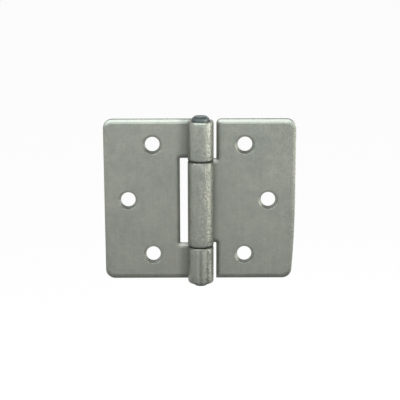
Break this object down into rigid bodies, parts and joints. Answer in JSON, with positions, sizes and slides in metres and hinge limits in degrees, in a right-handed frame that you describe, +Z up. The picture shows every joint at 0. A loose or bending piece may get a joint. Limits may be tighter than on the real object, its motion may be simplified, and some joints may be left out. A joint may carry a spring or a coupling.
{
  "type": "butt hinge",
  "caption": "Stainless steel butt hinge of rolled sheet: two leaves with countersunk screw holes turn on a plain headless pin.",
  "frame": {"origin": "on the pin's axis, at half the height of the leaves, with the hinge lying open flat", "axes": "+Z up the pin, +X across the open leaves towards the one-knuckle leaf, +Y towards the surface that the leaves are screwed to; the knuckles and the countersinks face -Y"},
  "size_m": [0.0884, 0.0119, 0.0809],
  "materials": {
    "leaf_steel": "tumbled satin stainless sheet with a faint upright grain",
    "pin_steel": "cut and tumbled stainless rod"
  },
  "bodies": {
    "fixed_leaf": {"leaf_two_knuckles": "leaf_steel", "hinge_pin": "pin_steel"},
    "moving_leaf": {"leaf_one_knuckle": "leaf_steel"}
  },
  "joints": [
    {"name": "leaf_swing", "type": "hinge", "parent": "fixed_leaf", "child": "moving_leaf", "pos_m": [0, 0, 0], "axis": [0, 0, 1], "range_deg": [-190, 100]}
  ]
}
